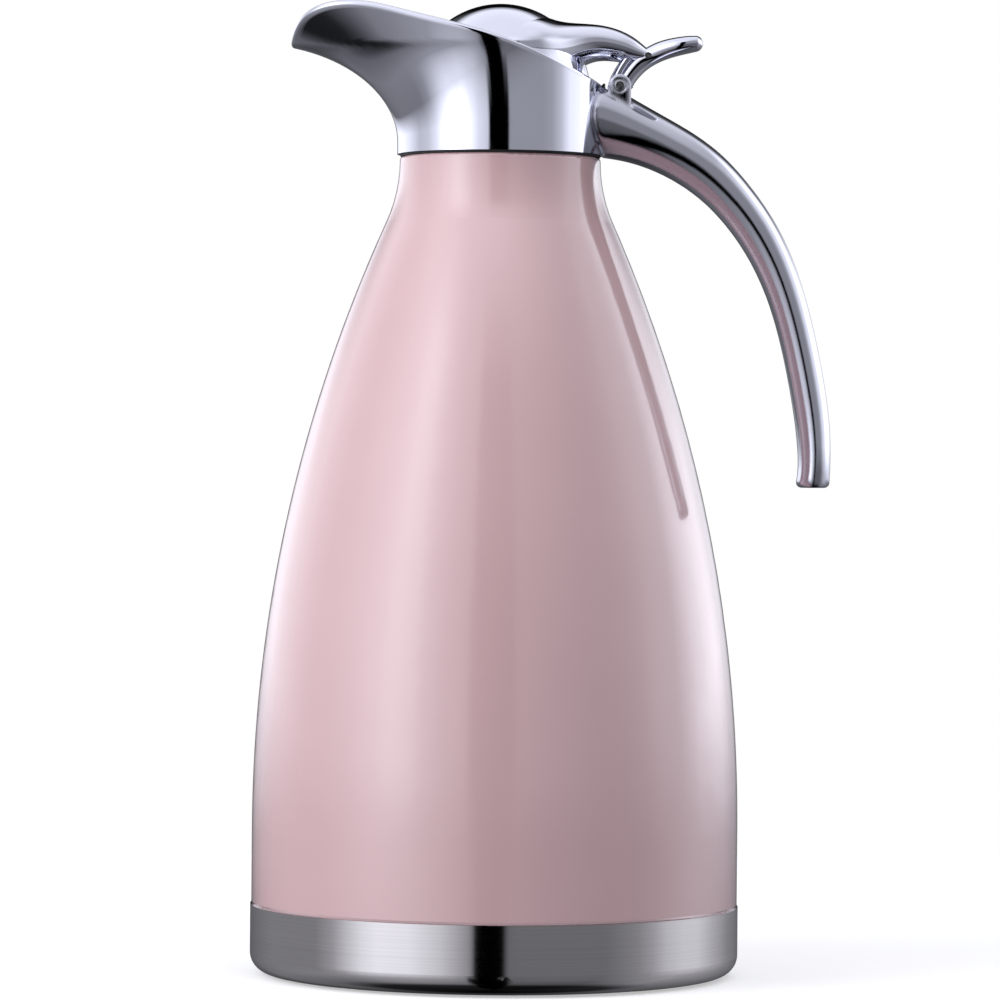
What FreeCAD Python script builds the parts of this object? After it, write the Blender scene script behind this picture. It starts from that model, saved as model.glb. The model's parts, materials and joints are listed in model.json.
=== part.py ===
import FreeCAD, Part
import math
import os

# Vacuum-insulated serving jug: a painted double-wall flask on a steel foot band, a chromed spout
# collar with a cantilever handle, and a sprung lid that a thumb lever lifts about one hinge pin.
# Frame: +Z up, origin on the jug's axis at the resting plane, spout towards -X, handle towards +X.
# All lengths are millimetres and all angles are degrees.

Vec = FreeCAD.Vector
X_AXIS = Vec(1, 0, 0)
Y_AXIS = Vec(0, 1, 0)
Z_AXIS = Vec(0, 0, 1)
ORIGIN = Vec(0, 0, 0)
FULL_TURN = 360.0

# Shared clearances
overrun = 5.0            # how far cutting shapes pass the faces they cut
fit_gap = 0.1            # between fixed pieces that slide together
running_gap = 0.05       # radial play of a knuckle on the hinge pin
moving_gap = 0.3         # between the closed lid and what it closes on

# Flask: outer shell, inner flask and the vacuum between them
base_radius = 72.5
shoulder_z = 244.0
belly_top_z = 44.0
neck_sweep_radius = 45.0
shell_wall = 0.8
flask_wall = 0.8
vacuum_gap = 5.0
neck_gap = 0.8
neck_height = 11.0
shoulder_round = 1.2
flask_neck_z_drop = 5.0
flask_floor_gap = 8.0
flask_corner = 14.0

# Foot: steel band, silicone pad, and the welded bottom with its seal
band_proud = 0.3
band_wall = 0.7
band_height = 20.4
band_corner = 6.0
band_lift = 0.5
joggle_height = 0.8
pad_radius = 57.5
pad_thickness = 1.3
bottom_wall = 0.8
bottom_flange = 5.0
dimple_radius = 9.0
dimple_depth = 1.6
port_radius = 2.0
seal_bead = 1.4
getter_radius = 7.0
getter_thickness = 1.5

# Spout collar
collar_gasket_thickness = 0.6
collar_gasket_width = 1.5
collar_radius = 30.8
collar_wall = 1.8
collar_overhang = 0.8
neck_clearance = 2.6
spout_projection = 31.5
keel_start_height = 3.4
keel_share = 0.956       # how far round its elliptical quarter the keel runs to the spout tip
spout_floor = 1.4
spout_half_angle = 22.0
lip_flare = 28.0         # how far the cutaway spout form goes on past the tip
rim_height = 43.4
# (share of spout reach, share of rim height) of the rim seen from the side
rim_shares = (
    (-1.0, 0.728), (-0.935, 0.912), (-0.755, 1.0), (-0.48, 0.945), (0.0, 0.765), (0.48, 0.475), (0.58, 0.41))
section_points = 24
collar_levels = 9
point_crowding = 0.5     # draws the points of a collar section together at the spout

# Pouring ring and mouth gasket inside the collar
mouth_gasket_thickness = 0.8
ring_skirt_wall = 1.2
ring_lip = 1.6
ring_bore_step = 0.4
seat_slope = 42.0
ring_foot_gap = 0.8
ring_land = 0.5

# Handle
handle_reach = 64.0
handle_drop = 109.0
handle_root_height = 10.4
handle_root_thickness = 21.8
handle_root_width = 31.0
handle_end_round = 1.6
handle_tangent_drop = 12.0
# (reach share, drop share, thickness share, width share) along the handle
handle_shares = (
    (-0.16, -0.018, 1.0, 1.0),
    (0.0, 0.0, 1.0, 0.93),
    (0.18, 0.038, 0.80, 0.79),
    (0.41, 0.105, 0.69, 0.68),
    (0.616, 0.21, 0.61, 0.60),
    (0.78, 0.349, 0.555, 0.555),
    (0.884, 0.499, 0.505, 0.53),
    (0.952, 0.657, 0.486, 0.52),
    (1.0, 1.0, 0.48, 0.52),
)
handle_squareness = 2.0
boss_radius = 3.6
boss_depth = 2.4
boss_spread = 6.5
boss_height = 7.4
screw_radius = 1.9
screw_head_radius = 3.0
screw_head_height = 1.9
screw_length = 14.0

# Hinge
hinge_offset = 4.5
hinge_height = 20.5
pin_radius = 1.5
pin_end = 0.5
pin_dome = 0.3
knuckle_radius = 3.2
lid_knuckle_width = 4.0
cheek_width = 2.8
cheek_gap = 0.2
spring_wire = 0.55
spring_radius = 2.4
spring_pitch = 1.0
spring_turns = 2
spring_room = 3.0
spring_exit_angle = 44.0
spring_foot = 2.4
spring_arm = 3.6
ear_width = 2.0
ear_radius = 3.4
ear_root = 7.0
pocket_gap = 1.0

# Lid
lid_side_gap = 2.2
lid_wall = 1.8
lid_skirt = 0.8
lid_clearance = 2.0
# (share of lid radius along X, half-width share, top height share) of the lid's rear
rear_shares = (
    (-0.12, 0.96, 0.80),
    (0.10, 0.965, 0.93),
    (0.29, 0.93, 0.945),
    (0.47, 0.84, 0.882),
    (0.65, 0.67, 0.822),
    (0.82, 0.47, 0.797),
    (0.97, 0.325, 0.784),
)
arch_squareness = 2.4
arch_points = 9
# (share from the tail to the hinge, then half-width, top height and underside height shares) of the arm
arm_shares = (
    (-0.10, 0.34, 0.788, 0.375),
    (0.43, 0.31, 0.772, 0.378),
    (1.04, 0.285, 0.70, 0.36),
    (1.93, 0.27, 0.53, 0.28),
)
liner_gap = 0.25
liner_thickness = 2.0
liner_drop = 0.4
liner_boss_radius = 3.6
arm_skirt = 0.6
liner_boss_height = 6.0
liner_screw_spread = 9.0
liner_screw_radius = 1.2
liner_screw_head = 2.4
liner_screw_length = 6.0
lid_boss_radius = 2.2

# Stopper under the lid
stopper_flange = 2.0
stopper_flange_lip = 1.5
stopper_neck_gap = 1.4
stopper_depth = 10.0
stopper_taper = 2.0
seal_thickness = 2.4
seal_reach = 2.2
stopper_screw_radius = 1.6
stopper_screw_head = 3.4
stopper_screw_head_height = 1.8

# Thumb lever
lever_reach = 25.0
lever_rise = 15.1
lever_pad_half_width = 8.0
leg_thickness = 2.5
leg_half_width = 4.5
tongue_radius = 2.0
rivet_radius = 1.0
rivet_end = 0.3
lever_straight_share = 0.36
# (reach share, pad half-width share) of the lever seen from above
lever_plan_shares = ((0.55, 0.82), (0.78, 1.0), (0.98, 0.72))
lever_plan_tip_share = 1.07
# (reach share, rise share) of the lever seen from the side
lever_top_shares = ((0.0, 0.22), (0.196, 0.675), (0.45, 0.905), (0.70, 0.985), (0.90, 1.0))
lever_tip_share = (1.0, 0.905)
lever_under_shares = ((0.95, 0.79), (0.80, 0.675), (0.60, 0.585), (0.38, 0.43), (0.225, 0.20), (0.128, 0.0))
rivet_share = (0.34, 0.62)

# Heights and radii that follow from the sizes above
mouth_z = shoulder_z + neck_height
collar_bore = collar_radius - collar_wall
shoulder_radius = collar_radius - collar_overhang
neck_radius = collar_bore - neck_clearance
lid_radius = collar_bore - lid_side_gap
tail_reach = lid_radius * rear_shares[-1][0]
hinge_reach = collar_radius + hinge_offset
spout_reach = collar_radius + spout_projection
spout_tip_height = rim_height * rim_shares[0][1]
band_radius = base_radius + band_proud
band_top_z = band_lift + band_height
joggle_radius = band_radius - band_wall - fit_gap
floor_z = pad_thickness + band_wall
shell_foot_z = band_lift + band_corner
bottom_z = shell_foot_z
flask_base_radius = base_radius - shell_wall - vacuum_gap
flask_neck_radius = neck_radius - shell_wall - neck_gap
mouth_radius = flask_neck_radius - flask_wall
flask_floor_z = bottom_z + flask_floor_gap
collar_base_z = shoulder_z + collar_gasket_thickness
rim_top_z = collar_base_z + rim_height
tip_z = collar_base_z + spout_tip_height
keel_start_z = collar_base_z + keel_start_height
keel_rise = (spout_tip_height - keel_start_height) / keel_share
keel_depth = spout_projection / (1 - math.sqrt(1 - keel_share ** 2))
ring_lip_z = mouth_z + mouth_gasket_thickness
seat_z = ring_lip_z + ring_lip
seat_radius = mouth_radius + ring_bore_step
seat_outer_radius = collar_bore - fit_gap - ring_land
ring_top_z = seat_z + (seat_outer_radius - seat_radius) * math.tan(math.radians(seat_slope))
lid_edge_z = ring_top_z + lid_clearance
liner_z = lid_edge_z - liner_drop
liner_top_z = liner_z + liner_thickness
seal_top_z = liner_z - stopper_flange
seal_z = seal_top_z - seal_thickness
stopper_top = seat_radius - stopper_neck_gap
stopper_flange_radius = stopper_top + stopper_flange_lip
stopper_screw_seat_z = seal_top_z - stopper_depth / 2
handle_root_z = collar_base_z + handle_root_height
hinge_z = collar_base_z + hinge_height
hinge_root_x = collar_radius - collar_wall / 2
screw_seat_x = collar_bore + screw_head_height / 3
HINGE = Vec(hinge_reach, 0, hinge_z)
cheek_inner = lid_knuckle_width / 2 + cheek_gap
cheek_outer = cheek_inner + cheek_width
ear_inner = cheek_outer + spring_room
ear_outer = ear_inner + ear_width


# Drawing helpers
def at(radius, height):
    return Vec(radius, 0, height)


def line(start, end):
    return Part.LineSegment(start, end).toShape()


def arc(start, middle, end):
    return Part.Arc(start, middle, end).toShape()


def spline(points, first=None, last=None):
    curve = Part.BSplineCurve()
    if first is None:
        curve.interpolate(points)
    else:
        curve.interpolate(points, InitialTangent=first, FinalTangent=last)
    return curve


def even_spline(points):
    curve = Part.BSplineCurve()
    curve.interpolate(Points=points, Parameters=list(range(len(points))))
    return curve.toShape()


def closed_curve(points):
    curve = Part.BSplineCurve()
    curve.interpolate(Points=points, PeriodicFlag=True, Parameters=list(range(len(points) + 1)))
    return Part.Wire([curve.toShape()])


def polyline(points):
    return [line(start, end) for start, end in zip(points, points[1:])]


def face_of(edges):
    return Part.Face(Part.Wire(Part.__sortEdges__(edges)))


def turned(edges):
    return face_of(edges).revolve(ORIGIN, Z_AXIS, FULL_TURN)


def turned_polygon(points):
    return turned(polyline(points + [points[0]]))


def ring(inner, outer, low, high):
    return turned_polygon([at(inner, low), at(outer, low), at(outer, high), at(inner, high)])


def rod(radius, start, end):
    return Part.makeCylinder(radius, (end - start).Length, start, end - start)


def across(radius, half_width, centre):
    return rod(radius, centre - Y_AXIS * half_width, centre + Y_AXIS * half_width)


def slab(edges, half_width):
    face = face_of(edges)
    face.translate(Y_AXIS * -half_width)
    return face.extrude(Y_AXIS * (half_width * 2))


def mirrored(shape):
    return shape.mirror(ORIGIN, Y_AXIS)


def both_sides(shape):
    return Part.makeCompound([shape, mirrored(shape)])


def corner_arc(centre, radius, from_angle, to_angle):
    angles = (from_angle, (from_angle + to_angle) / 2, to_angle)
    points = [centre + at(math.cos(math.radians(a)), math.sin(math.radians(a))) * radius for a in angles]
    return arc(*points)


# Flask
def sweep(low_radius, low_z, high_radius, high_z):
    lean = 2 * math.atan((low_radius - high_radius) / (high_z - low_z))
    belly_sweep_radius = (high_z - low_z) / math.sin(lean) - neck_sweep_radius
    lean = math.degrees(lean)
    return [
        corner_arc(at(low_radius - belly_sweep_radius, low_z), belly_sweep_radius, 0.0, lean),
        corner_arc(at(high_radius + neck_sweep_radius, high_z), neck_sweep_radius, 180.0 + lean, 180.0),
    ]


def shell_side(inset):
    belly = base_radius - inset
    shoulder = shoulder_radius - inset
    round_z = shoulder_z - shoulder_round
    neck = neck_radius - inset
    shoulder_round_radius = shoulder_round - inset if inset < shoulder_round else shoulder_round
    ledge_z = round_z + shoulder_round_radius
    return [
        line(at(joggle_radius - inset, shell_foot_z), at(joggle_radius - inset, band_top_z)),
        line(at(joggle_radius - inset, band_top_z), at(belly, band_top_z + joggle_height)),
        line(at(belly, band_top_z + joggle_height), at(belly, belly_top_z)),
        *sweep(belly, belly_top_z, shoulder, round_z),
        corner_arc(at(shoulder - shoulder_round_radius, round_z), shoulder_round_radius, 0.0, 90.0),
        line(at(shoulder - shoulder_round_radius, ledge_z), at(neck, ledge_z)),
        line(at(neck, ledge_z), at(neck, mouth_z - flask_wall)),
    ]


def make_outer_shell():
    lip_z = mouth_z - flask_wall
    edges = shell_side(0.0) + shell_side(shell_wall)
    edges.append(line(at(joggle_radius - shell_wall, shell_foot_z), at(joggle_radius, shell_foot_z)))
    edges.append(line(at(neck_radius - shell_wall, lip_z), at(neck_radius, lip_z)))
    return turned(edges)


def flask_side(inset):
    belly = flask_base_radius - inset
    neck = flask_neck_radius - inset
    floor = flask_floor_z + inset
    corner = flask_corner - inset
    neck_z = shoulder_z - flask_neck_z_drop
    return [
        line(at(0, floor), at(belly - corner, floor)),
        corner_arc(at(belly - corner, floor + corner), corner, -90.0, 0.0),
        line(at(belly, floor + corner), at(belly, belly_top_z)),
        *sweep(belly, belly_top_z, neck, neck_z),
    ]


def make_inner_flask():
    neck_z = shoulder_z - flask_neck_z_drop
    lip_z = mouth_z - flask_wall
    edges = flask_side(0.0) + flask_side(flask_wall)
    edges += polyline([
        at(flask_neck_radius, neck_z),
        at(flask_neck_radius, lip_z),
        at(neck_radius, lip_z),
        at(neck_radius, mouth_z),
        at(mouth_radius, mouth_z),
        at(mouth_radius, neck_z),
    ])
    edges.append(line(at(0, flask_floor_z), at(0, flask_floor_z + flask_wall)))
    return turned(edges)


def make_shell_bottom():
    rim = joggle_radius - shell_wall
    top = bottom_z + bottom_wall
    dimple_z = top + dimple_depth
    return turned_polygon([
        at(port_radius, dimple_z - bottom_wall),
        at(dimple_radius - bottom_wall, dimple_z - bottom_wall),
        at(dimple_radius + dimple_depth - bottom_wall, bottom_z),
        at(rim, bottom_z),
        at(rim, bottom_z + bottom_flange),
        at(rim - bottom_wall, bottom_z + bottom_flange),
        at(rim - bottom_wall, top),
        at(dimple_radius + dimple_depth, top),
        at(dimple_radius, dimple_z),
        at(port_radius, dimple_z),
    ])


def make_vacuum_seal():
    dimple_z = bottom_z + dimple_depth
    cap = Part.makeSphere(port_radius + seal_bead, at(0, dimple_z))
    below = Part.makeCylinder(port_radius + seal_bead, port_radius + seal_bead, at(0, dimple_z), at(0, -1))
    plug = Part.makeCylinder(port_radius, bottom_wall, at(0, dimple_z))
    return cap.common(below).fuse(plug).removeSplitter()


def make_getter():
    return Part.makeCylinder(getter_radius, getter_thickness, at(0, flask_floor_z - getter_thickness))


def make_base_band():
    outer = band_radius
    inner = band_radius - band_wall
    inner_corner = band_corner - band_wall
    step = floor_z - pad_thickness
    foot_z = band_lift
    edges = polyline([
        at(0, floor_z),
        at(0, pad_thickness),
        at(pad_radius + fit_gap, pad_thickness),
        at(pad_radius + fit_gap + step, foot_z),
        at(outer - band_corner, foot_z),
    ])
    edges.append(corner_arc(at(outer - band_corner, foot_z + band_corner), band_corner, -90.0, 0.0))
    edges += polyline([
        at(outer, foot_z + band_corner),
        at(outer, band_top_z),
        at(inner, band_top_z),
        at(inner, foot_z + band_corner),
    ])
    edges.append(corner_arc(at(outer - band_corner, foot_z + band_corner), inner_corner, 0.0, -90.0))
    edges += polyline([
        at(outer - band_corner, foot_z + band_wall),
        at(pad_radius + fit_gap + step + band_wall, foot_z + band_wall),
        at(pad_radius + fit_gap + band_wall, floor_z),
        at(0, floor_z),
    ])
    return turned(edges)


def make_base_pad():
    return Part.makeCylinder(pad_radius, pad_thickness)


# Spout collar
def keel(height):
    if height <= keel_start_z:
        return collar_radius
    if height <= tip_z:
        rise = (height - keel_start_z) / keel_rise
        return collar_radius + keel_depth * (1 - math.sqrt(1 - rise ** 2))
    return spout_reach + lip_flare * (height - tip_z) / (rim_top_z - tip_z)


def collar_section(height, inset, floor):
    back = collar_radius - inset
    front = keel(height - floor) - inset
    half = math.tan(math.radians(spout_half_angle / 2))
    points = []
    for index in range(section_points):
        spread = math.tan(math.pi * (index / section_points - 0.5)) * point_crowding
        angle = 2 * math.atan(spread)
        radius = back + (front - back) / (1 + (spread / half) ** 2)
        points.append(Vec(-radius * math.cos(angle), -radius * math.sin(angle), height))
    return closed_curve(points)


def collar_form(inset, floor, low_z):
    step = (rim_top_z + overrun - low_z) / collar_levels
    levels = [low_z + step * index for index in range(collar_levels + 1)]
    return Part.makeLoft([collar_section(level, inset, floor) for level in levels], True, False)


def collar_outside():
    return collar_form(0.0, 0.0, collar_base_z)


def collar_inside(inset):
    return collar_form(collar_wall + inset, spout_floor, collar_base_z - overrun)


def rim_cutter():
    points = [at(spout_reach * x, collar_base_z + rim_height * z) for x, z in rim_shares]
    edge = spline(points).toShape()
    sky = rim_top_z + overrun * 2
    front = points[0] - X_AXIS * (overrun + lip_flare) * 2
    back = points[-1] + X_AXIS * overrun
    edges = [edge] + polyline([points[-1], back, at(back.x, sky), at(front.x, sky), front, points[0]])
    return slab(edges, collar_radius + overrun)


def boss_centre(x):
    return Vec(x, boss_spread, collar_base_z + boss_height)


def make_spout_collar(outside, inside):
    hole_start = collar_bore - boss_radius
    boss_end = collar_radius + boss_depth
    body = outside.cut(inside).cut(rim_cutter())
    boss = rod(boss_radius, boss_centre(collar_bore), boss_centre(boss_end))
    hole = rod(screw_radius + fit_gap, boss_centre(hole_start), boss_centre(boss_end + overrun))
    seat = rod(screw_head_radius + fit_gap, boss_centre(hole_start), boss_centre(screw_seat_x))
    body = body.fuse([boss, mirrored(boss)])
    return body.cut([hole, mirrored(hole), seat, mirrored(seat)]).removeSplitter()


def make_handle_screws():
    head = rod(screw_head_radius, boss_centre(screw_seat_x - screw_head_height), boss_centre(screw_seat_x))
    shank = rod(screw_radius, boss_centre(screw_seat_x), boss_centre(screw_seat_x + screw_length))
    return both_sides(head.fuse(shank).removeSplitter())


def make_collar_gasket():
    inner = shoulder_radius - shoulder_round - collar_gasket_width
    return ring(inner, shoulder_radius - fit_gap, shoulder_z, collar_base_z)


# Pouring ring
def make_pouring_ring():
    skirt = neck_radius + fit_gap
    skirt_outer = skirt + ring_skirt_wall
    reach = collar_radius + overrun
    slope = math.tan(math.radians(seat_slope))
    blank = turned_polygon([
        at(skirt, shoulder_z + ring_foot_gap),
        at(skirt_outer, shoulder_z + ring_foot_gap),
        at(skirt_outer, ring_lip_z),
        at(collar_bore, ring_lip_z + (collar_bore - skirt_outer) * slope),
        at(reach, ring_lip_z + (collar_bore - skirt_outer) * slope),
        at(reach, ring_top_z),
        at(seat_outer_radius, ring_top_z),
        at(seat_radius, seat_z),
        at(seat_radius, ring_lip_z),
        at(skirt, ring_lip_z),
    ])
    blank.rotate(ORIGIN, Z_AXIS, FULL_TURN / 4)
    room = Part.Face(collar_section(ring_lip_z, collar_wall + fit_gap, spout_floor))
    room.translate(Z_AXIS * (shoulder_z - ring_lip_z))
    return blank.common(room.extrude(Z_AXIS * (ring_top_z - shoulder_z + overrun)))


def make_mouth_gasket():
    return ring(seat_radius, neck_radius, mouth_z, ring_lip_z)


# Handle
def handle_section(centre, tangent, half_thickness, half_width):
    outward = Y_AXIS.cross(tangent)
    points = []
    for index in range(section_points):
        angle = 2 * math.pi * index / section_points
        c = math.cos(angle)
        s = math.sin(angle)
        side = math.copysign(abs(c) ** (2 / handle_squareness), c) * half_width
        rise = math.copysign(abs(s) ** (2 / handle_squareness), s) * half_thickness
        points.append(centre + Y_AXIS * side + outward * rise)
    return closed_curve(points)


def handle_blank():
    stations = []
    for reach, drop, thickness, width in handle_shares:
        place = at(hinge_root_x + handle_reach * reach, handle_root_z - handle_drop * drop)
        stations.append((place, handle_root_thickness * thickness / 2, handle_root_width * width / 2))
    slope = math.radians(handle_tangent_drop)
    path = spline([s[0] for s in stations], at(math.cos(slope), -math.sin(slope)), -Z_AXIS)
    sections = []
    for place, half_thickness, half_width in stations:
        tangent = path.tangent(path.parameter(place))[0]
        sections.append(handle_section(place, tangent, half_thickness, half_width))
    blank = Part.makeLoft(sections, True, False)
    end_z = handle_root_z - handle_drop
    end_edges = [edge for edge in blank.Edges if abs(edge.BoundBox.ZMax - end_z) < fit_gap]
    return blank.makeFillet(handle_end_round, end_edges)


def hinge_ear():
    left = HINGE - X_AXIS * ear_radius
    right = HINGE + X_AXIS * ear_radius
    down = Z_AXIS * ear_root
    edges = [arc(left, HINGE + Z_AXIS * ear_radius, right)]
    edges += polyline([right, right - down, left - down, left])
    ear = slab(edges, ear_width / 2)
    ear.translate(Y_AXIS * ((ear_inner + ear_outer) / 2))
    return ear


def make_handle(outside):
    below = Part.makeCylinder(collar_radius, overrun * 2, at(0, collar_base_z - overrun * 2))
    below.rotate(ORIGIN, Z_AXIS, FULL_TURN / 2)
    blank = handle_blank().cut(below).cut(outside)
    start = boss_centre(collar_bore)
    socket = rod(boss_radius + fit_gap, start, boss_centre(collar_radius + boss_depth + fit_gap))
    pilot = rod(screw_radius + fit_gap, start, boss_centre(screw_seat_x + screw_length + fit_gap))
    pocket = across(knuckle_radius + pocket_gap, ear_inner, HINGE)
    bore = across(pin_radius, ear_outer + overrun, HINGE)
    blank = blank.fuse([hinge_ear(), mirrored(hinge_ear())])
    return blank.cut([socket, mirrored(socket), pilot, mirrored(pilot), pocket, bore])


# Hinge pin and springs
def make_hinge_pin():
    pin = across(pin_radius, ear_outer + pin_end, HINGE)
    rims = [edge for edge in pin.Edges if edge.isClosed()]
    return pin.makeFillet(pin_dome, rims)


def half_arc(start, tangent, end):
    chord = end - start
    along = Vec(chord).normalize()
    bulge = tangent - along * tangent.dot(along)
    lean = math.atan2(bulge.Length, tangent.dot(along))
    middle = start + chord * 0.5 + bulge.normalize() * (chord.Length / 2 * math.tan(lean / 2))
    return arc(start, middle, end)


def biarc(start, first, end, last):
    chord = end - start
    total = first + last
    turn = 2 * (1 - first.dot(last))
    reach = (math.sqrt(chord.dot(total) ** 2 + turn * chord.dot(chord)) - chord.dot(total)) / turn
    joint = (start + end + (first - last) * reach) * 0.5
    return [half_arc(start, first, joint), half_arc(end, -last, joint)]


def coil_point(angle, start_y):
    turn = angle / (2 * math.pi)
    base = math.radians(-90.0)
    radial = at(math.cos(base + angle), math.sin(base + angle))
    return HINGE + radial * spring_radius + Y_AXIS * (start_y - spring_pitch * turn)


def coil_tangent(angle):
    base = math.radians(-90.0)
    swing = at(-math.sin(base + angle), math.cos(base + angle)) * spring_radius
    return (swing - Y_AXIS * (spring_pitch / (2 * math.pi))).normalize()


def spring_self_gap(points):
    gaps = []
    apart = spring_radius * math.pi
    for index, point in enumerate(points):
        walked = 0.0
        for before, after in zip(points[index:], points[index + 1:]):
            walked += before.distanceToPoint(after)
            if walked > apart:
                gaps.append(point.distanceToPoint(after))
    return min(gaps) - spring_wire


def make_closing_springs():
    angle_end = 2 * math.pi * spring_turns + math.radians(spring_exit_angle)
    coil_length = spring_pitch * angle_end / (2 * math.pi)
    start_y = (cheek_outer + ear_inner + coil_length) / 2
    steps = 2 * spring_turns + 1
    angles = [angle_end * index / steps for index in range(steps + 1)]
    foot = coil_point(0.0, start_y) - coil_tangent(0.0) * spring_foot
    tip = coil_point(angle_end, start_y) + coil_tangent(angle_end) * spring_arm
    edges = [line(foot, coil_point(0.0, start_y))]
    for low, high in zip(angles, angles[1:]):
        start = coil_point(low, start_y)
        end = coil_point(high, start_y)
        edges += biarc(start, coil_tangent(low), end, coil_tangent(high))
    edges.append(line(coil_point(angle_end, start_y), tip))
    path = Part.Wire(Part.__sortEdges__(edges))
    print("spring gap to itself", round(spring_self_gap(path.discretize(section_points * steps)), 3))
    profile = Part.Wire([Part.Circle(foot, coil_tangent(0.0), spring_wire / 2).toShape()])
    return both_sides(path.makePipeShell([profile], True, False))


# Lid
def arch(x, half_width, low_z, top_z, skirt):
    points = []
    for index in range(arch_points):
        angle = math.pi * index / (arch_points - 1)
        c = math.cos(angle)
        side = math.copysign(abs(c) ** (2 / arch_squareness), c) * half_width
        rise = abs(math.sin(angle)) ** (2 / arch_squareness) * (top_z - low_z)
        points.append(Vec(x, side, low_z + rise))
    down = Z_AXIS * skirt
    edges = [even_spline(points)]
    edges += polyline([points[-1], points[-1] - down, points[0] - down, points[0]])
    return Part.Wire(Part.__sortEdges__(edges))


def dome(inset, skirt):
    radius = lid_radius - inset
    centre = at(0, lid_edge_z)
    edges = [corner_arc(centre, radius, 0.0, 90.0)]
    edges += polyline([
        at(0, lid_edge_z + radius),
        at(0, lid_edge_z - skirt),
        at(radius, lid_edge_z - skirt),
        at(radius, lid_edge_z),
    ])
    return turned(edges)


def rear(inset, skirt):
    sections = []
    for x, width, top in rear_shares:
        place = lid_radius * x - inset
        top_z = lid_edge_z + lid_radius * top - inset
        sections.append(arch(place, lid_radius * width - inset, lid_edge_z, top_z, skirt))
    return Part.makeLoft(sections, True, False)


def arm():
    sections = []
    for x, width, top, under in arm_shares:
        low_z = lid_edge_z + lid_radius * under
        top_z = lid_edge_z + lid_radius * top
        place = tail_reach + (hinge_reach - tail_reach) * x
        sections.append(arch(place, lid_radius * width, low_z, top_z, arm_skirt))
    return Part.makeLoft(sections, True, False)


def lever_point(share):
    return HINGE + at(lever_reach * share[0], lever_rise * share[1])


def lever_front():
    low = lever_point(lever_top_shares[0])
    high = lever_point(lever_top_shares[1])
    along = (high - low).normalize()
    return low, high, along, Y_AXIS.cross(along) * -1


def behind_front():
    low, high, along, forward = lever_front()
    start = low - along * lever_rise + forward * fit_gap
    end = high + along * lever_rise + forward * fit_gap
    return slab(polyline([start, end, end - forward * lever_reach, start - forward * lever_reach, start]),
                lid_radius)


def lid_leg():
    low, high, along, forward = lever_front()
    tangent = HINGE + forward * knuckle_radius
    outline = polyline([high, HINGE - along * fit_gap, tangent, high + forward * leg_thickness, high])
    leg = slab(outline, leg_half_width).cut(behind_front())
    side = across(knuckle_radius + moving_gap, leg_half_width, HINGE)
    middle = across(knuckle_radius + overrun, lid_knuckle_width / 2, HINGE)
    return leg.cut(side.cut(middle))


def tongue(half_width, radius):
    low, high, along, forward = lever_front()
    rivet = lever_point(rivet_share)
    start = high - along * (radius * 2) + forward * leg_thickness / 2
    direction = (rivet - start).normalize()
    up = Y_AXIS.cross(direction) * -radius
    bar = slab(polyline([start + up, rivet + up, rivet - up, start - up, start + up]), half_width)
    return bar.fuse(across(radius, half_width, rivet)).removeSplitter()


def lid_boss():
    roof = lid_radius - lid_wall
    height = (lid_radius - lid_wall) * math.sqrt(1 - ((liner_screw_spread - lid_boss_radius) / roof) ** 2)
    place = Vec(0, liner_screw_spread, liner_top_z + fit_gap)
    top = Vec(0, liner_screw_spread, lid_edge_z + height + lid_wall / 5)
    bore = rod(liner_screw_radius + fit_gap, place, place + Z_AXIS * liner_screw_length)
    return rod(lid_boss_radius, place, top).cut(bore)


def make_lid_shell():
    hollow = [dome(lid_wall, overrun), rear(lid_wall, overrun)]
    skin = dome(0.0, lid_skirt).fuse(rear(0.0, lid_skirt)).cut(hollow)
    neck = arm().cut(behind_front()).cut(hollow)
    body = skin.fuse([neck, lid_leg(), across(knuckle_radius, lid_knuckle_width / 2, HINGE)])
    body = body.fuse([tongue(lid_knuckle_width / 2, tongue_radius), lid_boss(), mirrored(lid_boss())])
    pin_bore = across(pin_radius + running_gap, lid_radius, HINGE)
    rivet_bore = across(rivet_radius, lid_radius, lever_point(rivet_share))
    return body.cut([pin_bore, rivet_bore]).removeSplitter()


def make_lid_liner():
    plate = ring(0.0, lid_radius - lid_wall - liner_gap, liner_z, liner_top_z)
    post = Part.makeCylinder(liner_boss_radius, liner_boss_height, at(0, liner_top_z))
    pilot = Part.makeCylinder(stopper_screw_radius, liner_boss_height + liner_thickness, at(0, liner_z))
    place = Vec(0, liner_screw_spread, liner_z)
    hole = rod(liner_screw_radius + fit_gap, place, place + Z_AXIS * liner_thickness)
    recess = rod(liner_screw_head + fit_gap, place, place + Z_AXIS * liner_screw_head / 2)
    return plate.fuse(post).cut([pilot, hole, mirrored(hole), recess, mirrored(recess)]).removeSplitter()


def make_liner_screws():
    seat = Vec(0, liner_screw_spread, liner_z + liner_screw_head / 2)
    head = rod(liner_screw_head, seat - Z_AXIS * liner_screw_head / 2, seat)
    shank = rod(liner_screw_radius, seat, seat + Z_AXIS * liner_screw_length)
    return both_sides(head.fuse(shank).removeSplitter())


# Stopper
def make_stopper():
    low = stopper_top - stopper_taper
    bottom_z = seal_top_z - stopper_depth
    blank = turned_polygon([
        at(0, bottom_z),
        at(low, bottom_z),
        at(stopper_top, seal_z),
        at(stopper_top, seal_top_z),
        at(stopper_flange_radius, seal_top_z),
        at(stopper_flange_radius, liner_z),
        at(0, liner_z),
    ])
    recess = Part.makeCylinder(stopper_screw_head + fit_gap, stopper_screw_seat_z - bottom_z, at(0, bottom_z))
    seat = at(0, stopper_screw_seat_z)
    hole = Part.makeCylinder(stopper_screw_radius + fit_gap, overrun + stopper_depth, seat)
    return blank.cut([recess, hole])


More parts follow.
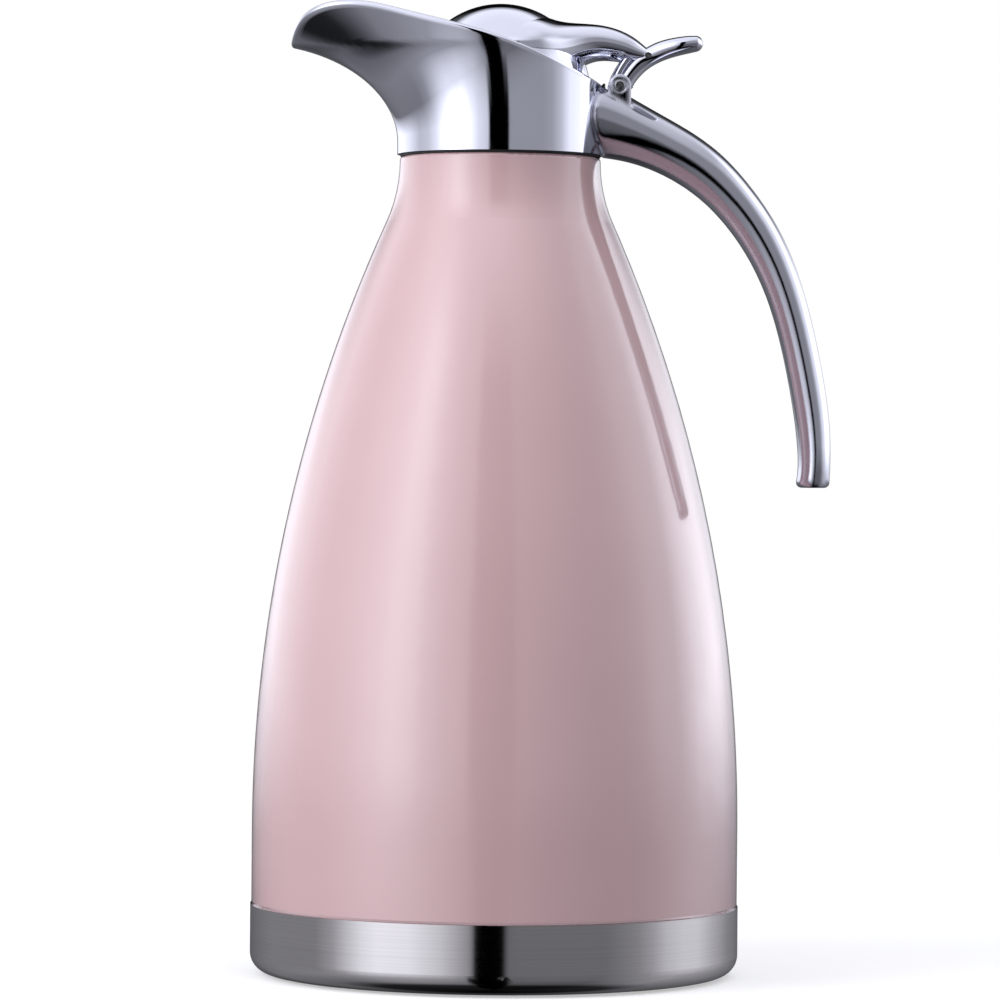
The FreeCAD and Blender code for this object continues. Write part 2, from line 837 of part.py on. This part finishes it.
def make_stopper_seal():
    slope = math.tan(math.radians(seat_slope))
    gap = moving_gap / math.sin(math.radians(seat_slope))
    edge = stopper_flange_radius + seal_reach

    def face(height):
        return seat_radius + (height - seat_z) / slope - gap
    return turned_polygon([
        at(stopper_top, seal_z),
        at(face(seal_z), seal_z),
        at(edge, seal_z + (edge - face(seal_z)) * slope),
        at(edge, seal_top_z),
        at(stopper_top, seal_top_z),
    ])


def make_stopper_screw():
    seat = at(0, stopper_screw_seat_z)
    head = rod(stopper_screw_head, seat - Z_AXIS * stopper_screw_head_height, seat)
    shank = rod(stopper_screw_radius, seat, at(0, liner_top_z + liner_boss_height / 2))
    return head.fuse(shank).removeSplitter()


# Thumb lever
def lever_side():
    top = [lever_point(share) for share in lever_top_shares]
    under = [lever_point(share) for share in lever_under_shares]
    edges = [line(top[0], top[1]), spline(top[1:]).toShape()]
    edges.append(arc(top[-1], lever_point(lever_tip_share), under[0]))
    edges += [spline(under).toShape(), line(under[-1], HINGE), line(HINGE, top[0])]
    return slab(edges, lever_pad_half_width + overrun)


def lever_plan():
    points = [HINGE + Vec(lever_reach * x, lever_pad_half_width * y, 0) for x, y in lever_plan_shares]
    back = HINGE + Vec(-knuckle_radius * 2, cheek_outer, 0)
    start = HINGE + Vec(lever_reach * lever_straight_share, cheek_outer, 0)
    curve = [start] + points
    tip = HINGE + Vec(lever_reach * lever_plan_tip_share, 0, 0)
    far = [Vec(p.x, -p.y, p.z) for p in reversed(curve)]
    edges = [line(back, start), spline(curve + [tip] + far, X_AXIS, -X_AXIS).toShape()]
    edges += polyline([far[-1], Vec(back.x, -back.y, back.z), back])
    face = face_of(edges)
    face.translate(Z_AXIS * -overrun)
    return face.extrude(Z_AXIS * (lever_rise + overrun * 2))


def make_thumb_lever():
    blank = lever_side().common(lever_plan())
    knuckle = across(knuckle_radius, cheek_outer, HINGE)
    body = blank.fuse(knuckle)
    knuckle_slot = across(knuckle_radius + moving_gap, cheek_inner, HINGE)
    tongue_slot = tongue(cheek_inner, tongue_radius + cheek_gap)
    pin_bore = across(pin_radius + running_gap, lever_pad_half_width, HINGE)
    rivet_bore = across(rivet_radius, lever_pad_half_width + overrun, lever_point(rivet_share))
    return body.cut([knuckle_slot, tongue_slot, pin_bore, rivet_bore]).removeSplitter()


def make_lever_rivet():
    return across(rivet_radius, cheek_outer + rivet_end, lever_point(rivet_share))


outside = collar_outside()
inside = collar_inside(0.0)
parts = {
    "outer_shell": make_outer_shell(),
    "inner_flask": make_inner_flask(),
    "shell_bottom": make_shell_bottom(),
    "vacuum_seal": make_vacuum_seal(),
    "getter": make_getter(),
    "base_band": make_base_band(),
    "base_pad": make_base_pad(),
    "spout_collar": make_spout_collar(outside, inside),
    "handle_screws": make_handle_screws(),
    "collar_gasket": make_collar_gasket(),
    "pouring_ring": make_pouring_ring(),
    "mouth_gasket": make_mouth_gasket(),
    "handle": make_handle(outside),
    "hinge_pin": make_hinge_pin(),
    "closing_springs": make_closing_springs(),
    "lid_shell": make_lid_shell(),
    "lid_liner": make_lid_liner(),
    "liner_screws": make_liner_screws(),
    "stopper": make_stopper(),
    "stopper_seal": make_stopper_seal(),
    "stopper_screw": make_stopper_screw(),
    "thumb_lever": make_thumb_lever(),
    "lever_rivet": make_lever_rivet(),
}
os.makedirs("parts", exist_ok=True)
for name, shape in parts.items():
    shape.exportStep("parts/" + name + ".step")
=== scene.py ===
import json
import math

import bpy
import numpy as np
from mathutils import Matrix, Vector


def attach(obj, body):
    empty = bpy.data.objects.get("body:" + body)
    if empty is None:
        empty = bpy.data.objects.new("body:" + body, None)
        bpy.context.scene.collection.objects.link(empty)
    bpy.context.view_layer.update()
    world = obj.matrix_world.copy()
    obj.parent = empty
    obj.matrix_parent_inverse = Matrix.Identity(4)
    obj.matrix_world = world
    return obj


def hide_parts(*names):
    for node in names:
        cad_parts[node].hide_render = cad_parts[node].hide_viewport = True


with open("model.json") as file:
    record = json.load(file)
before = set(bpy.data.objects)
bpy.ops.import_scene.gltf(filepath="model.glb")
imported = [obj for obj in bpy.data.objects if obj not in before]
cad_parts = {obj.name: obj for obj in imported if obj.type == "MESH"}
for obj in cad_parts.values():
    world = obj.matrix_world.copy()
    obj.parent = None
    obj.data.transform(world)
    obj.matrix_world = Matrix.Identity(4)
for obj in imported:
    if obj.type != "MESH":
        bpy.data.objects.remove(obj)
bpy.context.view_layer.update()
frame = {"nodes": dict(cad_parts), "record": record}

# Thermal jug: lacquered steel body, steel foot band, chromed spout collar, handle, lid and lever.
# Metres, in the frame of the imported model: spout towards -X, handle towards +X, camera on the -Y side.

MM = 0.001
IMAGE_PIXELS = 1000
WHITE = (1.0, 1.0, 1.0)

# Camera: square frame, level, rolled a little
camera_distance = 1.543
camera_height = 0.1562
camera_focal_pixels = 5161.0
camera_roll = math.radians(0.49)
camera_shift = (0.0022, -0.049)
camera_sensor = 36.0
camera_clip_start = 0.05

# Studio: what all but the camera sees round the jug, as (azimuth in degrees from the camera, level)
studio_levels = (
    (-180, 0.02), (-169, 0.08), (-162, 1.20), (-148, 1.50), (-123, 1.10), (-102, 0.66), (-88, 0.74),
    (-76, 1.05), (-62, 1.75), (-51, 2.5), (-42, 2.2), (-33, 1.35), (-24, 0.95), (-13.5, 0.75),
    (-11.5, 0.0), (8.5, 0.0), (10.5, 0.36), (48, 0.36), (60, 0.42), (72, 0.66), (84, 1.15), (100, 1.3),
    (107, 1.8), (115, 2.3), (128, 2.5), (140, 2.2), (150, 1.4), (161, 1.1), (170, 0.15), (180, 0.02),
)
# The same from just below the horizon
low_levels = (
    (-180, 0.10), (-148, 0.18), (-128, 0.23), (-92, 0.23), (-81, 0.36), (-72, 0.64), (-64, 0.88),
    (-56, 1.0), (-40, 0.94), (-25, 0.68), (-17, 0.46), (-10.5, 0.30), (-8.5, 0.0), (4.5, 0.0),
    (6.5, 0.17), (54, 0.17), (71, 0.26), (80, 0.38), (89, 0.58), (100, 0.70), (111, 0.70), (125, 0.48),
    (143, 0.27), (180, 0.10),
)
# The same down to the floor
deep_levels = (
    (-180, 0.05), (-168, 0.08), (-152, 0.22), (-120, 0.28), (-92, 0.30), (-76, 0.34), (-60, 0.42),
    (-40, 0.42), (-20, 0.34), (-13.5, 0.28), (-11.5, 0.0), (8.5, 0.0), (10.5, 0.17), (54, 0.17),
    (80, 0.32), (100, 0.45), (120, 0.38), (143, 0.27), (180, 0.05),
)
# Share of that light left behind the jug, above its edge reflections
back_shares = ((-180, 0.05), (-152, 0.08), (-125, 1.0), (125, 1.0), (152, 0.08), (180, 0.05))
# The ceiling over it all
ceiling_levels = (
    (-180, 1.1), (-100, 1.2), (0, 1.2), (18, 0.95), (42, 0.70), (100, 0.70), (125, 0.95), (150, 1.1),
    (180, 1.1),
)
# (share of straight up, level) over all of that, dark straight below
height_levels = ((-1.0, 0.02), (-0.88, 0.05), (-0.76, 0.55), (-0.5, 0.85), (-0.08, 1.0), (1.0, 1.0))
# Shares of straight up over which one of them passes into the next
deep_blend = (-0.45, -0.11)
low_blend = (-0.088, 0.03)
back_blend = (0.15, 0.30)
ceiling_blend = (0.58, 0.74)
zenith_blend = (0.78, 0.95)
zenith = WHITE
studio_tint = (0.905, 0.92, 1.0)
# Strength of the studio for matt surfaces
fill_strength = 0.94
# Lamps, not seen in the chrome: (power in watts, place)
key_lamp = (6.4, (-0.92, -0.46, 0.55))
top_lamp = (2.6, (0.45, -0.50, 1.0))
lamp_size = 0.8
lamp_target = (0.0, 0.0, 0.14)

# Floor: (low, high) of its colour as the camera sees it and as it lights the jug
floor_half_size = 0.45
floor_shown = (0.61, 0.63)
floor_bounced = (0.26, 0.28)
floor_roughness = 0.9
floor_glow = 0.43

# Finishes: (low, high) of each mottled colour and roughness
mottle_stops = (0.3, 0.7)
lacquer_tones = ((0.625, 0.415, 0.425), (0.650, 0.435, 0.445))
lacquer_roughness = (0.15, 0.20)
lacquer_specular = 0.9
coat_roughness = 0.035
chrome_tones = ((0.80, 0.81, 0.905), (0.835, 0.845, 0.935))
chrome_tone_stops = (0.35, 0.65)
chrome_roughness = (0.03, 0.075)
chrome_roughness_stops = (0.3, 0.75)
# Share that darkens the handle's chrome colour: painted shade on the same plating as the collar and lid
handle_painted_shade = 0.76
handle_edge_radius = 2.4 * MM
bevel_samples = 8
band_tones = ((0.825, 0.79, 0.79), (0.875, 0.84, 0.84))
band_roughness = (0.06, 0.09)
flask_tones = (0.55, 0.66)
flask_roughness = (0.22, 0.34)
fastener_tones = (0.50, 0.64)
fastener_roughness = (0.18, 0.32)
moulded_roughness_spread = 0.06
piece_sharp_angle = math.radians(50.0)
cad_sharp_angle = math.radians(30.0)

# Spout collar, in millimetres
collar_base_z = 244.6
collar_radius = 30.8
collar_wall = 1.8
spout_reach = 62.3
keel_start_z = 248.0
tip_z = 276.2
rim_top_z = 288.0
keel_share = 0.956
spout_floor = 1.4
spout_half_angle = math.radians(22.0)
lip_flare = 28.0
lip_radius = 0.9
# (share of spout reach, share of rim height) of the rim seen from the side
rim_shares = (
    (-1.0, 0.728), (-0.935, 0.912), (-0.755, 1.0), (-0.48, 0.945), (0.0, 0.765), (0.48, 0.475), (0.58, 0.41))
rim_samples = 400
collar_columns = 224
collar_rows = 44
lip_rows = 8
bisection_steps = 40
slope_step = 0.5

# Lid, in millimetres: a dome, an arm that grows out of it and bridges the rim, a leg down to the hinge
lid_edge_z = 263.0
lid_radius = 26.8
lid_skirt = 0.8
lid_wall = 0.9
lid_rows = 60
lid_columns = 160
lid_pole_turn = 0.002
# (X, Z, half-thickness, half-width) along each swept piece
arm_stations = (
    (0.0, 275.2, 11.3, 23.0), (6.0, 275.5, 11.2, 22.8), (12.0, 275.8, 10.7, 21.0), (18.0, 276.6, 8.6, 16.4),
    (24.0, 277.9, 6.4, 11.8), (30.0, 278.3, 5.3, 8.9), (36.0, 277.1, 4.5, 7.4), (40.0, 275.7, 3.5, 6.0),
    (43.0, 274.7, 2.3, 4.8))
leg_stations = (
    (39.4, 276.2, 1.6, 4.6), (37.4, 273.2, 1.5, 4.5), (35.6, 270.4, 1.5, 4.4), (34.2, 267.4, 1.7, 4.2))
lever_stations = (
    (36.0, 265.0, 2.6, 4.6), (37.9, 268.0, 2.6, 4.6), (40.5, 271.3, 2.7, 4.6), (43.6, 273.9, 2.8, 4.8),
    (48.0, 276.2, 2.85, 6.2), (53.0, 277.6, 2.65, 7.8), (56.4, 278.2, 2.45, 7.6), (58.0, 278.4, 2.3, 7.0))
arm_squareness = 1.9
lever_squareness = 2.6
sweep_samples = 72
sweep_segments = 48
cap_rows = 8
cap_pole_turn = 0.05


def link(tree, source, target):
    tree.links.new(source, target)


def node(tree, kind, **settings):
    made = tree.nodes.new(kind)
    for name, value in settings.items():
        setattr(made, name, value)
    return made


def math_node(tree, operation, first, second=None):
    made = node(tree, "ShaderNodeMath", operation=operation)
    for socket, value in zip(made.inputs, (first, second)):
        if isinstance(value, (int, float)):
            socket.default_value = value
        elif value is not None:
            link(tree, value, socket)
    return made.outputs[0]


def ramp(tree, factor, stops):
    made = node(tree, "ShaderNodeValToRGB")
    elements = made.color_ramp.elements
    while len(elements) < len(stops):
        elements.new(0.5)
    for element, (place, level) in zip(elements, stops):
        element.position = place
        colour = level if isinstance(level, tuple) else (level, level, level)
        element.color = (*colour, 1.0)
    link(tree, factor, made.inputs["Fac"])
    return made.outputs["Color"]


def mixed(tree, factor, first, second):
    made = node(tree, "ShaderNodeMix", data_type="RGBA")
    link(tree, factor, made.inputs["Factor"])
    for socket, value in ((made.inputs["A"], first), (made.inputs["B"], second)):
        if isinstance(value, tuple):
            socket.default_value = (*value, 1.0)
        else:
            link(tree, value, socket)
    return made.outputs["Result"]


def spread_over(tree, value, limits):
    made = node(tree, "ShaderNodeMapRange")
    link(tree, value, made.inputs["Value"])
    made.inputs["From Min"].default_value, made.inputs["From Max"].default_value = limits
    return made.outputs["Result"]


def product(tree, first, second):
    made = node(tree, "ShaderNodeVectorMath", operation="MULTIPLY")
    for socket, value in zip(made.inputs, (first, second)):
        if isinstance(value, tuple):
            socket.default_value = value
        else:
            link(tree, value, socket)
    return made.outputs[0]


def azimuth_ramp(tree, share, levels):
    return ramp(tree, share, [(angle / 360.0 + 0.5, level) for angle, level in levels])


# World: plain white to the camera, the studio to every other ray
def make_world():
    world = bpy.data.worlds.new("studio")
    world.use_nodes = True
    tree = world.node_tree
    tree.nodes.clear()
    axes = node(tree, "ShaderNodeSeparateXYZ")
    link(tree, node(tree, "ShaderNodeTexCoord").outputs["Generated"], axes.inputs[0])
    height = axes.outputs["Z"]
    forward = math_node(tree, "MULTIPLY", axes.outputs["Y"], -1.0)
    turn = math_node(tree, "ARCTAN2", axes.outputs["X"], forward)
    share = math_node(tree, "ADD", math_node(tree, "DIVIDE", turn, 2 * math.pi), 0.5)
    high = azimuth_ramp(tree, share, studio_levels)
    low = azimuth_ramp(tree, share, low_levels)
    deep = azimuth_ramp(tree, share, deep_levels)
    behind = azimuth_ramp(tree, share, back_shares)
    ceiling = azimuth_ramp(tree, share, ceiling_levels)
    ground = mixed(tree, spread_over(tree, height, deep_blend), deep, low)
    wall = mixed(tree, spread_over(tree, height, low_blend), ground, high)
    kept = mixed(tree, spread_over(tree, height, back_blend), WHITE, behind)
    cover = mixed(tree, spread_over(tree, height, zenith_blend), ceiling, zenith)
    around = mixed(tree, spread_over(tree, height, ceiling_blend), product(tree, wall, kept), cover)
    rise = math_node(tree, "ADD", math_node(tree, "MULTIPLY", height, 0.5), 0.5)
    upward = ramp(tree, rise, [(place / 2 + 0.5, level) for place, level in height_levels])
    path = node(tree, "ShaderNodeLightPath")
    studio = node(tree, "ShaderNodeBackground")
    link(tree, product(tree, product(tree, around, upward), studio_tint), studio.inputs["Color"])
    fill = math_node(tree, "MULTIPLY", path.outputs["Is Diffuse Ray"], fill_strength - 1.0)
    link(tree, math_node(tree, "ADD", fill, 1.0), studio.inputs["Strength"])
    white = node(tree, "ShaderNodeBackground")
    white.inputs["Color"].default_value = (*WHITE, 1.0)
    mix = node(tree, "ShaderNodeMixShader")
    link(tree, path.outputs["Is Camera Ray"], mix.inputs["Fac"])
    link(tree, studio.outputs[0], mix.inputs[1])
    link(tree, white.outputs[0], mix.inputs[2])
    output = node(tree, "ShaderNodeOutputWorld")
    link(tree, mix.outputs[0], output.inputs["Surface"])
    bpy.context.scene.world = world


def make_camera():
    data = bpy.data.cameras.new("camera")
    data.sensor_width = camera_sensor
    data.lens = camera_focal_pixels / IMAGE_PIXELS * camera_sensor
    data.shift_x, data.shift_y = camera_shift
    data.clip_start = camera_clip_start
    camera = bpy.data.objects.new("camera", data)
    right = Vector((math.cos(camera_roll), 0.0, math.sin(camera_roll)))
    up = Vector((-math.sin(camera_roll), 0.0, math.cos(camera_roll)))
    camera.matrix_world = Matrix((right, up, right.cross(up))).transposed().to_4x4()
    camera.location = (0.0, -camera_distance, camera_height)
    bpy.context.scene.collection.objects.link(camera)
    bpy.context.scene.camera = camera


# Materials
def principled(name):
    material = bpy.data.materials.new(name)
    material.use_nodes = True
    tree = material.node_tree
    shader = tree.nodes["Principled BSDF"]
    return material, tree, shader


def object_coordinates(tree, scale=(1.0, 1.0, 1.0)):
    mapping = node(tree, "ShaderNodeMapping")
    mapping.inputs["Scale"].default_value = scale
    link(tree, node(tree, "ShaderNodeTexCoord").outputs["Object"], mapping.inputs["Vector"])
    return mapping.outputs["Vector"]


def noise(tree, place, scale, detail=3.0, roughness=0.5):
    made = node(tree, "ShaderNodeTexNoise")
    made.inputs["Scale"].default_value = scale
    made.inputs["Detail"].default_value = detail
    made.inputs["Roughness"].default_value = roughness
    link(tree, place, made.inputs["Vector"])
    return made.outputs["Fac"]


def add_bump(tree, shader, height, distance, strength=1.0):
    bump = node(tree, "ShaderNodeBump")
    bump.inputs["Distance"].default_value = distance
    bump.inputs["Strength"].default_value = strength
    link(tree, height, bump.inputs["Height"])
    link(tree, bump.outputs["Normal"], shader.inputs["Normal"])


def mottled(tree, factor, low_and_high, stops=mottle_stops):
    return ramp(tree, factor, list(zip(stops, low_and_high)))


def lacquer():
    material, tree, shader = principled("pink_lacquer")
    place = object_coordinates(tree)
    cloud = noise(tree, place, scale=24.0, detail=2.0)
    link(tree, mottled(tree, cloud, lacquer_tones), shader.inputs["Base Color"])
    wear = noise(tree, place, scale=60.0)
    link(tree, mottled(tree, wear, lacquer_roughness), shader.inputs["Roughness"])
    shader.inputs["Specular IOR Level"].default_value = lacquer_specular
    shader.inputs["Coat Weight"].default_value = 1.0
    shader.inputs["Coat Roughness"].default_value = coat_roughness
    add_bump(tree, shader, noise(tree, place, scale=700.0, detail=2.0), distance=0.00002, strength=0.15)
    return material


def chrome(name, painted_shade=1.0, edge_radius=0.0):
    material, tree, shader = principled(name)
    shader.inputs["Metallic"].default_value = 1.0
    place = object_coordinates(tree)
    # painted_shade scales the plating's colour down: painted shade, the metal itself is the same
    tones = [tuple(painted_shade * level for level in tone) for tone in chrome_tones]
    cloud = noise(tree, place, scale=40.0)
    link(tree, mottled(tree, cloud, tones, chrome_tone_stops), shader.inputs["Base Color"])
    wear = noise(tree, place, scale=160.0, detail=4.0)
    link(tree, mottled(tree, wear, chrome_roughness, chrome_roughness_stops), shader.inputs["Roughness"])
    if edge_radius:
        rounded = node(tree, "ShaderNodeBevel", samples=bevel_samples)
        rounded.inputs["Radius"].default_value = edge_radius
        link(tree, rounded.outputs["Normal"], shader.inputs["Normal"])
    else:
        add_bump(tree, shader, noise(tree, place, scale=90.0, detail=1.0), distance=0.00001, strength=0.1)
    return material


def band_steel():
    material, tree, shader = principled("turned_band_steel")
    shader.inputs["Metallic"].default_value = 1.0
    place = object_coordinates(tree, (6.0, 6.0, 3000.0))
    rings = noise(tree, place, scale=1.0, detail=4.0, roughness=0.6)
    link(tree, mottled(tree, rings, band_tones), shader.inputs["Base Color"])
    link(tree, mottled(tree, rings, band_roughness), shader.inputs["Roughness"])
    add_bump(tree, shader, rings, distance=0.000004, strength=0.06)
    return material


def flask_steel():
    material, tree, shader = principled("flask_steel")
    shader.inputs["Metallic"].default_value = 1.0
    rings = noise(tree, object_coordinates(tree, (10.0, 10.0, 1400.0)), scale=1.0)
    link(tree, mottled(tree, rings, flask_tones), shader.inputs["Base Color"])
    link(tree, mottled(tree, rings, flask_roughness), shader.inputs["Roughness"])
    return material


def fastener_steel():
    material, tree, shader = principled("fastener_steel")
    shader.inputs["Metallic"].default_value = 1.0
    place = object_coordinates(tree)
    cloud = noise(tree, place, scale=900.0)
    link(tree, mottled(tree, cloud, fastener_tones), shader.inputs["Base Color"])
    wear = noise(tree, place, scale=1500.0)
    link(tree, mottled(tree, wear, fastener_roughness), shader.inputs["Roughness"])
    return material


def moulded(name, tones, rough, grain):
    material, tree, shader = principled(name)
    place = object_coordinates(tree)
    cloud = noise(tree, place, scale=120.0)
    link(tree, mottled(tree, cloud, tones), shader.inputs["Base Color"])
    wear = noise(tree, place, scale=300.0)
    limits = (rough - moulded_roughness_spread, rough + moulded_roughness_spread)
    link(tree, mottled(tree, wear, limits), shader.inputs["Roughness"])
    add_bump(tree, shader, noise(tree, place, scale=grain, detail=2.0), distance=0.00005, strength=0.25)
    return material


# White to the camera, with the jug's shadow
def make_floor():
    mesh = bpy.data.meshes.new("floor")
    corners = [
        (-floor_half_size, -floor_half_size, 0.0), (floor_half_size, -floor_half_size, 0.0),
        (floor_half_size, floor_half_size, 0.0), (-floor_half_size, floor_half_size, 0.0)]
    mesh.from_pydata(corners, [], [(0, 1, 2, 3)])
    floor = bpy.data.objects.new("floor", mesh)
    bpy.context.scene.collection.objects.link(floor)
    material, tree, shader = principled("floor_white")
    cloud = noise(tree, object_coordinates(tree), scale=6.0)
    seen = node(tree, "ShaderNodeLightPath").outputs["Is Camera Ray"]
    colour = mixed(tree, seen, mottled(tree, cloud, floor_bounced), mottled(tree, cloud, floor_shown))
    link(tree, colour, shader.inputs["Base Color"])
    shader.inputs["Roughness"].default_value = floor_roughness
    shader.inputs["Emission Color"].default_value = (*WHITE, 1.0)
    link(tree, math_node(tree, "MULTIPLY", seen, floor_glow), shader.inputs["Emission Strength"])
    mesh.materials.append(material)
    floor.visible_glossy = False


# Meshes
def place_mesh(name, points, faces, finish, body, *nodes):
    mesh = bpy.data.meshes.new(name)
    mesh.from_pydata([Vector(point) * MM for point in points], [], faces)
    mesh.materials.append(finish)
    mesh.shade_smooth()
    mesh.set_sharp_from_angle(angle=piece_sharp_angle)
    piece = bpy.data.objects.new(name, mesh)
    bpy.context.scene.collection.objects.link(piece)
    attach(piece, body)
    if nodes:
        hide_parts(*nodes)


def tube_faces(rows, columns, closed_ends=False):
    faces = []
    for row in range(rows - 1):
        for column in range(columns):
            after = (column + 1) % columns
            low = row * columns
            high = low + columns
            faces.append((low + column, low + after, high + after, high + column))
    if closed_ends:
        faces.append(tuple(reversed(range(columns))))
        faces.append(tuple(range((rows - 1) * columns, rows * columns)))
    return faces


def smooth_table(points, samples):
    """Natural cubic through the rows of points, read at evenly spaced chord lengths."""
    table = np.array(points, float)
    steps = np.linalg.norm(np.diff(table[:, :2], axis=0), axis=1)
    knots = np.concatenate(([0.0], np.cumsum(steps)))
    count = len(knots)
    system = np.eye(count)
    target = np.zeros_like(table)
    for i in range(1, count - 1):
        system[i, i - 1:i + 2] = steps[i - 1], 2 * (steps[i - 1] + steps[i]), steps[i]
        target[i] = 6 * ((table[i + 1] - table[i]) / steps[i] - (table[i] - table[i - 1]) / steps[i - 1])
    bend = np.linalg.solve(system, target)
    reads = []
    for place in np.linspace(0.0, knots[-1], samples):
        i = min(np.searchsorted(knots, place, side="right") - 1, count - 2)
        left = (knots[i + 1] - place) / steps[i]
        right = 1.0 - left
        curve = ((left ** 3 - left) * bend[i] + (right ** 3 - right) * bend[i + 1]) * steps[i] ** 2 / 6
        reads.append(left * table[i] + right * table[i + 1] + curve)
    return np.array(reads)


# Spout collar with a rolled lip
def keel(height):
    if height <= keel_start_z:
        return collar_radius
    if height >= tip_z:
        return spout_reach + lip_flare * (height - tip_z) / (rim_top_z - tip_z)
    rise = (height - keel_start_z) / (tip_z - keel_start_z) * keel_share
    depth = (spout_reach - collar_radius) / (1 - math.sqrt(1 - keel_share ** 2))
    return collar_radius + depth * (1 - math.sqrt(1 - rise ** 2))


def collar_point(spread, height, inset, floor):
    angle = 2 * math.atan(spread)
    share = 1 / (1 + (spread / math.tan(spout_half_angle / 2)) ** 2)
    radius = collar_radius + (keel(height - floor) - collar_radius) * share - inset
    return np.array((-radius * math.cos(angle), -radius * math.sin(angle), height))


def rim_height(x, rim):
    return np.interp(x, rim[:, 0], rim[:, 1])


def wall_column(spread, inset, floor, rim):
    """Points up the wall, from the collar's foot to where the lip begins."""
    low, high = collar_base_z, rim_top_z
    for _ in range(bisection_steps):
        middle = (low + high) / 2
        x = collar_point(spread, middle, inset, floor)[0]
        if middle < rim_height(x, rim) - lip_radius:
            low = middle
        else:
            high = middle
    return [collar_point(spread, z, inset, floor) for z in np.linspace(collar_base_z, low, collar_rows)]


def lip_arc(outer, inner, rim):
    centre = (outer + inner) / 2
    half = (outer - inner) / 2
    run = 2 * slope_step
    rise = rim_height(centre[0] + slope_step, rim) - rim_height(centre[0] - slope_step, rim)
    up = np.array((-rise, 0.0, run)) / math.hypot(rise, run) * np.linalg.norm(half)
    angles = np.linspace(0.0, math.pi, lip_rows + 2)[1:-1]
    return [centre + half * math.cos(angle) + up * math.sin(angle) for angle in angles]


def make_collar(finish):
    height = rim_top_z - collar_base_z
    rim = smooth_table([(spout_reach * x, collar_base_z + height * z) for x, z in rim_shares], rim_samples)
    columns = []
    for index in range(collar_columns):
        spread = math.tan(math.pi * ((index + 0.5) / collar_columns - 0.5)) / 2
        outer = wall_column(spread, 0.0, 0.0, rim)
        inner = wall_column(spread, collar_wall, spout_floor, rim)
        columns.append(outer + lip_arc(outer[-1], inner[-1], rim) + inner[::-1] + [outer[0]])
    rows = len(columns[0])
    points = [column[row] for row in range(rows) for column in columns]
    faces = tube_faces(rows, collar_columns)
    place_mesh("spout_collar_chrome", points, faces, finish, "vessel", "spout_collar")


# Lid, arm and lever
def rounded_reach(angle, half_width, height, squareness):
    across = (abs(math.cos(angle)) / half_width) ** squareness
    upward = (abs(math.sin(angle)) / height) ** squareness
    return (across + upward) ** (-1 / squareness)


def make_lid(finish):
    inner = lid_radius - lid_wall
    foot = lid_edge_z - lid_skirt
    turns = np.linspace(lid_pole_turn, math.pi / 2, lid_rows)
    profile = [(lid_radius * math.sin(turn), lid_edge_z + lid_radius * math.cos(turn)) for turn in turns]
    profile += [(lid_radius, foot), (inner, foot)]
    profile += [(inner * math.sin(turn), lid_edge_z + inner * math.cos(turn)) for turn in turns[::-1]]
    around = np.linspace(0.0, 2 * math.pi, lid_columns, endpoint=False)
    points = [(r * math.cos(angle), r * math.sin(angle), z) for r, z in profile for angle in around]
    faces = tube_faces(len(profile), lid_columns, True)
    place_mesh("lid_cover_chrome", points, faces, finish, "lid", "lid_shell")


def make_swept(name, stations, squareness, finish, body, *nodes):
    path = smooth_table(stations, sweep_samples)
    slopes = np.gradient(path[:, :2], axis=0)
    cap = [math.cos(turn) for turn in np.linspace(math.pi / 2 - cap_pole_turn, 0.0, cap_rows)]
    rows = [(0, scale) for scale in cap[:-1]]
    rows += [(index, 1.0) for index in range(sweep_samples)]
    rows += [(sweep_samples - 1, scale) for scale in cap[-2::-1]]
    points = []
    for count, (index, scale) in enumerate(rows):
        x, z, half_thickness, half_width = path[index]
        along = slopes[index] / np.linalg.norm(slopes[index])
        bulge = half_thickness * math.sqrt(1 - scale ** 2) * (-1 if count < cap_rows else 1)
        for angle in np.linspace(0.0, 2 * math.pi, sweep_segments, endpoint=False):
            reach = rounded_reach(angle, half_width, half_thickness, squareness) * scale
            rise = reach * math.sin(angle)
            points.append((
                x + along[0] * bulge - along[1] * rise,
                reach * math.cos(angle),
                z + along[1] * bulge + along[0] * rise,
            ))
    place_mesh(name, points, tube_faces(len(rows), sweep_segments, True), finish, body, *nodes)


def make_lamp(name, power, place):
    data = bpy.data.lights.new(name, "AREA")
    data.shape = "SQUARE"
    data.size = lamp_size
    data.energy = power
    lamp = bpy.data.objects.new(name, data)
    lamp.location = place
    lamp.rotation_euler = (Vector(lamp_target) - Vector(place)).to_track_quat("-Z", "Y").to_euler()
    lamp.visible_glossy = False
    bpy.context.scene.collection.objects.link(lamp)


def dress(finishes):
    slots = {part["node"]: part["material_slot"] for part in frame["record"]["subparts"]}
    for name, part in frame["nodes"].items():
        part.data.materials.clear()
        part.data.materials.append(finishes[slots[name]])
        part.data.shade_smooth()
        part.data.set_sharp_from_angle(angle=cad_sharp_angle)


make_world()
make_camera()
make_lamp("key", *key_lamp)
make_lamp("top", *top_lamp)
make_floor()
finishes = {
    "lacquer": lacquer(),
    "flask_steel": flask_steel(),
    "band_steel": band_steel(),
    "pad_silicone": moulded("pad_silicone", tones=(0.02, 0.035), rough=0.62, grain=2500.0),
    "chrome": chrome("chrome_plate"),
    "black_plastic": moulded("black_plastic", tones=(0.015, 0.028), rough=0.42, grain=1800.0),
    "fastener_steel": fastener_steel(),
}
dress(finishes)
# The handle's chrome colour is darkened as painted shade; the bevel node gives its rounded-edge shading
# normals
frame["nodes"]["handle"].data.materials[0] = chrome("chrome_plate_edges_painted_shade", handle_painted_shade, handle_edge_radius)
make_collar(finishes["chrome"])
make_lid(finishes["chrome"])
make_swept("lid_arm_chrome", arm_stations, arm_squareness, finishes["chrome"], "lid")
make_swept("lid_leg_chrome", leg_stations, lever_squareness, finishes["chrome"], "lid")
make_swept("thumb_lever_chrome", lever_stations, lever_squareness, finishes["chrome"], "lid", "thumb_lever")

bpy.context.scene.view_settings.view_transform = "Standard"
